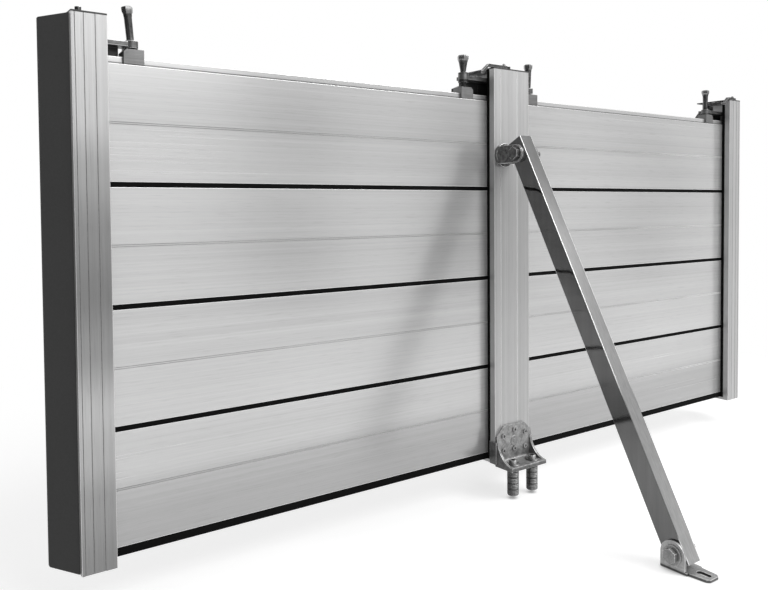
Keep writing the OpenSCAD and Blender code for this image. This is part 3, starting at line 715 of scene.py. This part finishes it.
# Rising part of the head: share of its height, step in from its full radius, hexagon share.
HEAD_RISE = ((0.22, 2.0 * MM, 0.6), (0.40, 0.6 * MM, 1.0), (0.46, 0.3 * MM, 1.0), (0.80, 0.0, 1.0))
# Its dished top: distance below the top, step in, hexagon share.
HEAD_CROWN = ((1.2 * MM, 0.4 * MM, 1.0), (0.3 * MM, 2.2 * MM, 0.7), (0.0, 3.0 * MM, 0.6),
              (0.2 * MM, 4.5 * MM, 0.2))
# Length of the thread, radius of the grip under the head, corner radius of the head.
SCREW_FORMS = {
    "left": (17.0 * MM, 6.6 * MM, 9.5 * MM),
    "mid_left": (35.0 * MM, 9.2 * MM, 13.0 * MM),
    "mid_right": (17.0 * MM, 7.5 * MM, 10.5 * MM),
    "right": (17.0 * MM, 7.5 * MM, 10.5 * MM),
}


def thread_sections(length):
    """Sections of a thread as close rings, up to the plain grip."""
    sections = []
    for turn in range(int(length / THREAD_PITCH)):
        root = turn * THREAD_PITCH
        sections.append((root, SCREW_R - THREAD_DEPTH, 0.0))
        sections.append((root + THREAD_PITCH / 2, SCREW_R, 0.0))
    sections.append((length, SCREW_R, 0.0))
    return sections


def head_sections(grip, head):
    """Sections of the flared hexagonal head above a grip."""
    neck = HEAD_TOP - HEAD_H
    sections = [(neck + up, grip + step, hexagon) for up, step, hexagon in HEAD_NECK]
    sections += [(neck + HEAD_H * share, head - step, hexagon) for share, step, hexagon in HEAD_RISE]
    sections += [(HEAD_TOP - drop, head - step, hexagon) for drop, step, hexagon in HEAD_CROWN]
    return sections


def hand_screw(name, materials):
    """Threaded lower end, tapered grip and flared hexagonal head on the screw's own axis."""
    joint = JOINTS[name + "_screw_turn"]
    axis = Vector(joint["axis"]).normalized()
    lift = SCREW_R * math.sin(axis.angle(UP)) + SCREW_LIFT
    thread, grip, head = SCREW_FORMS[name]
    piece = turned(name + "_hand_screw_piece", thread_sections(thread) + head_sections(grip, head),
                   materials, light_from=HEAD_TOP - LIGHT_PART)
    turn = UP.rotation_difference(axis).to_matrix().to_4x4()
    moved(piece, Matrix.Translation(Vector(joint["pos_m"]) + axis * lift) @ turn)
    stand_for(piece, name + "_hand_screw")


# ---- floor anchors ------------------------------------------------------------------------------

ANCHOR_R = 13.0 * MM
# Rounded lower end: height above the end, step in from the radius.
ANCHOR_TIP = ((0.0, 4.0 * MM), (0.6 * MM, 1.6 * MM), (2.0 * MM, 0.3 * MM))
RINGS_UP = 4.0 * MM
RING_PITCH = 3.25 * MM
RING_COUNT = 16
RING_SLOPE = 0.3 * MM
# Width and depth of a ring, and of every fourth one.
FINE_RING = (0.9 * MM, 0.6 * MM)
WIDE_RING = (2.0 * MM, 1.3 * MM)
SHANK_INSET = 0.5 * MM
SHANK_START = -0.6 * MM
SHELF_T = 9.0 * MM
WASHER_R = 15.5 * MM
WASHER_T = 2.0 * MM
WASHER_ROUND = 0.3 * MM
BOLT_HEAD_R = 9.0 * MM
BOLT_HEAD_H = 8.0 * MM
BOLT_HEAD_CHAMFER = (0.8 * MM, 0.9 * MM)
SOCKET_R = 5.0 * MM
SOCKET_D = 5.0 * MM


def sleeve_sections(end):
    """Sections of the ringed sleeve up from its lower end; rings that take painted shade."""
    sections = [(end + up, ANCHOR_R - step, 0.0) for up, step in ANCHOR_TIP]
    dark = []
    for number in range(RING_COUNT):
        low = end + RINGS_UP + number * RING_PITCH
        run, depth = WIDE_RING if number % 4 == 3 else FINE_RING
        dark.append(len(sections) + 1)
        sections += [(low, ANCHOR_R, 0.0), (low + RING_SLOPE, ANCHOR_R - depth, 0.0),
                     (low + RING_SLOPE + run, ANCHOR_R - depth, 0.0),
                     (low + 2 * RING_SLOPE + run, ANCHOR_R, 0.0)]
    return sections, dark


def bolt_sections():
    """Sections of the shank's top, the washer and the socket head."""
    top = SHELF_T + WASHER_T
    head_top = top + BOLT_HEAD_H
    shank = ANCHOR_R - SHANK_INSET
    return [
        (SHANK_START, shank, 0.0),
        (SHELF_T, shank, 0.0),
        (SHELF_T, WASHER_R - WASHER_ROUND, 0.0),
        (SHELF_T + WASHER_ROUND, WASHER_R, 0.0),
        (top - WASHER_ROUND, WASHER_R, 0.0),
        (top, WASHER_R - WASHER_ROUND, 0.0),
        (top, BOLT_HEAD_R, 0.0),
        (head_top - BOLT_HEAD_CHAMFER[0], BOLT_HEAD_R, 0.0),
        (head_top, BOLT_HEAD_R - BOLT_HEAD_CHAMFER[1], 0.0),
        (head_top, SOCKET_R, 1.0),
        (head_top - SOCKET_D, SOCKET_R, 1.0),
    ]


def floor_anchors(materials):
    """Both anchors, placed at the ends of the CAD pair's box."""
    low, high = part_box("floor_anchors")
    sections, dark = sleeve_sections(low.z)
    sections += bolt_sections()
    # The socket's walls in the bolt head take painted shade, like the rings.
    socket_wall = len(sections) - 2
    pieces = []
    for x in (low.x + WASHER_R, high.x - WASHER_R):
        piece = turned("anchor", sections, materials, dark_rings=[*dark, socket_wall])
        pieces.append(moved(piece, Matrix.Translation((x, 0.0, 0.0))))
    stand_for(joined("floor_anchors_piece", pieces), "floor_anchors")


# ---- small parts that the CAD leaves out --------------------------------------------------------

# Outlines in mm: height and radius.
RIVET_FORM = ((0.0, 3.6), (0.5, 3.6), (0.7, 3.0), (0.35, 2.3), (0.9, 1.4), (1.0, 0.3))
BOSS_FORM = ((-0.5, 12.5), (0.3, 12.0), (0.9, 11.0), (0.9, 8.5), (0.4, 7.5), (0.4, 4.5), (1.0, 3.5),
             (1.1, 0.5))
CLAMP_BOLT_HEAD = ((-0.3, 4.2), (2.6, 4.2), (3.2, 3.4))
CLAMP_BOLT_END = ((3.2, 1.8), (4.6, 1.8))
RIVET_RIGHT = 6 * MM
RIVET_UP = 5 * MM
BRACKET_PLATE_T = 6 * MM
BOSS_UP = 51 * MM
# Places of the bolts from the left front corner of an arm's box, and how far they are below its top.
CLAMP_BOLTS = {
    "mid_left_clamp_arm": ((104 * MM, 4.5 * MM, 0.0), (59 * MM, 35.5 * MM, 26 * MM),
                           (48 * MM, 35.5 * MM, 26 * MM)),
    "right_clamp_arm": ((97 * MM, 4.5 * MM, 0.0), (43 * MM, 30 * MM, 17 * MM)),
}


def sections_of(form, share=0.0):
    """Sections in metres from an outline in mm, round or hexagonal."""
    return [(height * MM, radius * MM, share) for height, radius in form]


def facing_front(x, y, z):
    """Matrix that turns a piece's +Z towards -Y and puts it at the point."""
    return Matrix.Translation((x, y, z)) @ Matrix.Rotation(math.pi / 2, 4, "X")


def ride_along(piece, node):
    """The piece is added to the CAD node's body."""
    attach(piece, BODY_OF[node])


def post_rivet(materials):
    """Small ringed screw on the middle post's front, right of the brace bracket's lower end."""
    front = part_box("middle_post")[0].y
    low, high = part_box("brace_bracket")
    piece = turned("post_rivet", sections_of(RIVET_FORM), materials, sides=32)
    moved(piece, facing_front(high.x + RIVET_RIGHT, front, low.z + RIVET_UP))
    ride_along(piece, "middle_post")


def bracket_boss(materials):
    """Shallow cast boss in the middle of the foot bracket's upright plate."""
    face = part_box("middle_post")[0].y - BRACKET_PLATE_T
    low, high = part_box("foot_bracket")
    piece = turned("foot_bracket_boss", sections_of(BOSS_FORM), materials)
    moved(piece, facing_front((low.x + high.x) / 2, face, low.z + BOSS_UP))
    ride_along(piece, "foot_bracket")


def clamp_bolts(materials):
    """Small hexagon bolts on two hook plates, the mid-left arm's bar and the right arm's low plate."""
    sections = sections_of(CLAMP_BOLT_HEAD, 1.0) + sections_of(CLAMP_BOLT_END)
    for node, places in CLAMP_BOLTS.items():
        low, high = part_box(node)
        pieces = []
        for x, y, down in places:
            piece = turned("bolt", sections, materials, sides=24)
            pieces.append(moved(piece, Matrix.Translation((low.x + x, low.y + y, high.z - down))))
        ride_along(joined(node + "_bolts", pieces), node)


# ---- studio -------------------------------------------------------------------------------------

CAMERA_PLACE = Vector((-1.2475, -1.2138, 0.5812))
CAMERA_YAW = 0.6215
CAMERA_PITCH = 0.0333
CAMERA_ROLL = -0.0077
LENS_MM = 36.09
SENSOR_MM = 36.0
SHIFT_DOWN = 0.080

WORLD_LIGHT = 0.45
LAMP_TARGET = (0.0, 0.0, 0.4)
LAMP_SIZE = 2.2
LAMPS = {"key": ((2.0, -2.4, 3.4), 95.0), "front": ((0.4, -4.2, 3.0), 45.0)}

FLOOR_HALF = 14.0
FLOOR_DROP = 0.5 * MM
FLOOR_GREY = 0.55
FLOOR_LIFT = 0.64
FLOOR_FADE = (1.1, 2.0)
CONTACT_REACH = 0.03
CONTACT_RANGE = (0.1, 0.75)

CARD_TOP = 2.4
CARD_GREY = 0.07
# Dark cards as lines on the floor, from (x, y) to (x, y).
DARK_CARDS = {
    "left": ((-3.2, 2.6), (-3.2, -3.0)),
    "behind_camera": ((-3.2, -3.0), (-1.7, -4.2)),
    "right": ((4.2, 0.2), (4.2, 3.0)),
}
WINDOW_FRAMES = ((1.0, -3.4), (2.3, -3.0), (3.6, -2.4), (4.9, -1.6))
WINDOW_FRAME_RUN = (0.45, 0.3)
WINDOW_GREY = 0.02
WINDOW_GLOW = (0.2, 0.4)


def make_camera():
    """Camera of the photograph, turned from +Y towards +X and slightly down."""
    data = bpy.data.cameras.new("camera")
    data.lens = LENS_MM
    data.sensor_width = SENSOR_MM
    data.shift_y = -SHIFT_DOWN
    camera = bpy.data.objects.new("camera", data)
    turn = (Matrix.Rotation(-CAMERA_YAW, 4, "Z")
            @ Matrix.Rotation(math.pi / 2 - CAMERA_PITCH, 4, "X")
            @ Matrix.Rotation(CAMERA_ROLL, 4, "Z"))
    camera.matrix_world = Matrix.Translation(CAMERA_PLACE) @ turn
    bpy.context.scene.collection.objects.link(camera)
    bpy.context.scene.camera = camera


def seen_rays(tree):
    """1 on rays that show the background: to the camera, in mirrors and through glass."""
    path = tree.nodes.new("ShaderNodeLightPath")
    seen = math_node(tree, "MAXIMUM", path.outputs["Is Camera Ray"], path.outputs["Is Glossy Ray"])
    return math_node(tree, "MAXIMUM", seen, path.outputs["Is Transmission Ray"])


def mixed(tree, factor, first, second):
    """Shader between two others."""
    mix = tree.nodes.new("ShaderNodeMixShader")
    for socket, value in zip(mix.inputs, (factor, first, second)):
        tree.links.new(value, socket)
    return mix.outputs[0]


def background(tree, strength):
    """Neutral background shader."""
    node = tree.nodes.new("ShaderNodeBackground")
    node.inputs["Color"].default_value = WHITE
    node.inputs["Strength"].default_value = strength
    return node.outputs[0]


def make_world():
    """White to the camera and to mirror rays, plain soft grey light on everything."""
    world = bpy.data.worlds.new("studio")
    bpy.context.scene.world = world
    world.use_nodes = True
    tree = world.node_tree
    tree.nodes.remove(tree.nodes["Background"])
    shown = mixed(tree, seen_rays(tree), background(tree, WORLD_LIGHT), background(tree, 1.0))
    tree.links.new(shown, tree.nodes["World Output"].inputs["Surface"])


def make_lamps():
    """Two large soft lamps: the key from the front right, the other lower and further in front."""
    for name, (place_at, power) in LAMPS.items():
        data = bpy.data.lights.new(name, "AREA")
        data.shape = "SQUARE"
        data.size = LAMP_SIZE
        data.energy = power
        lamp = bpy.data.objects.new(name, data)
        lamp.location = place_at
        lamp.rotation_mode = "QUATERNION"
        lamp.rotation_quaternion = (Vector(LAMP_TARGET) - Vector(place_at)).to_track_quat("-Z", "Y")
        bpy.context.scene.collection.objects.link(lamp)


def flat_sheet(name, corners, material):
    """Flat four-cornered sheet of the studio."""
    mesh = bpy.data.meshes.new(name)
    mesh.from_pydata(corners, [], [(0, 1, 2, 3)])
    mesh.materials.append(material)
    sheet = bpy.data.objects.new(name, mesh)
    bpy.context.scene.collection.objects.link(sheet)
    return sheet


def lifted_floor(tree, floor):
    """Floor brightened to white where the sky above it is open, not close to the object."""
    contact = tree.nodes.new("ShaderNodeAmbientOcclusion")
    contact.inputs["Distance"].default_value = CONTACT_REACH
    lift = tree.nodes.new("ShaderNodeEmission")
    tree.links.new(ranged(tree, contact.outputs["AO"], 0.0, FLOOR_LIFT, CONTACT_RANGE),
                   lift.inputs["Strength"])
    total = tree.nodes.new("ShaderNodeAddShader")
    tree.links.new(floor, total.inputs[0])
    tree.links.new(lift.outputs[0], total.inputs[1])
    return total.outputs[0]


def floor_material():
    """Pale floor that keeps a soft shadow near the object and fades into the white background."""
    material, tree, shader = new_material("white_floor")
    grain = noise(tree, even(30.0))
    tinted(tree, shader, FLOOR_GREY, varied(tree, grain, 0.02, (0.0, 1.0)))
    shader.inputs["Roughness"].default_value = 0.9
    distance = tree.nodes.new("ShaderNodeVectorMath")
    distance.operation = "LENGTH"
    tree.links.new(place(tree), distance.inputs[0])
    far = ranged(tree, distance.outputs["Value"], 0.0, 1.0, FLOOR_FADE)
    white = tree.nodes.new("ShaderNodeEmission")
    near_or_far = mixed(tree, far, lifted_floor(tree, shader.outputs[0]), white.outputs[0])
    shown = mixed(tree, seen_rays(tree), shader.outputs[0], near_or_far)
    tree.links.new(shown, tree.nodes["Material Output"].inputs["Surface"])
    return material


def dark_card_material():
    """Matt black of the cards that darken what faces them."""
    material, tree, shader = new_material("dark_card")
    grain = noise(tree, even(8.0))
    tinted(tree, shader, CARD_GREY, varied(tree, grain, 0.1, (0.0, 1.0)))
    shader.inputs["Roughness"].default_value = 0.9
    return material


def window_frame_material():
    """Grey glow of the frames between windows, seen in mirrors."""
    material, tree, shader = new_material("window_frame")
    grain = noise(tree, even(1.5))
    tinted(tree, shader, WINDOW_GREY, grain)
    tree.links.new(ranged(tree, grain, *WINDOW_GLOW), shader.inputs["Emission Strength"])
    shader.inputs["Emission Color"].default_value = WHITE
    return material


def mirror_card(name, start, end, floor_z, material):
    """Upright card on a line of the floor, which only mirrors see."""
    corners = [(*start, floor_z), (*end, floor_z), (*end, CARD_TOP), (*start, CARD_TOP)]
    card = flat_sheet(name + "_card", corners, material)
    card.visible_diffuse = False
    card.visible_shadow = False
    card.visible_camera = False


def make_stage():
    """Floor under the lowest point, and cards around the object."""
    z = CAD_BOUNDS[0].z - FLOOR_DROP
    half = FLOOR_HALF
    flat_sheet("floor", [(-half, -half, z), (half, -half, z), (half, half, z), (-half, half, z)],
               floor_material())
    dark = dark_card_material()
    for name, (start, end) in DARK_CARDS.items():
        mirror_card(name, start, end, z, dark)
    glow = window_frame_material()
    for number, (x, y) in enumerate(WINDOW_FRAMES):
        end = (x + WINDOW_FRAME_RUN[0], y + WINDOW_FRAME_RUN[1])
        mirror_card(f"window_{number}", (x, y), end, z, glow)


# ---- build --------------------------------------------------------------------------------------

def build():
    """All pieces of the object."""
    materials = make_materials()
    own_nodes = {"floor_anchors"} | {name + "_hand_screw" for name in SCREW_FORMS}
    pieces = {node: rounded_copy(node, finish_of(materials, node))
              for node in sorted(frame["nodes"]) if node not in own_nodes}
    # Darker copies of the tube's and the foot bracket's materials on their flanks: painted shade.
    dress_flanks(pieces["brace_tube"], polished_steel_in_shade())
    dress_flanks(pieces["foot_bracket"], zinc_flank_shade())
    for name in SCREW_FORMS:
        hand_screw(name, materials["hand_screw"])
    floor_anchors(materials["floor_anchors"])
    post_rivet(materials["post_aluminium"])
    bracket_boss(materials["zinc_steel"])
    clamp_bolts(materials["zinc_steel"])


build()
make_world()
make_lamps()
make_stage()
make_camera()
bpy.context.scene.view_settings.view_transform = "Standard"
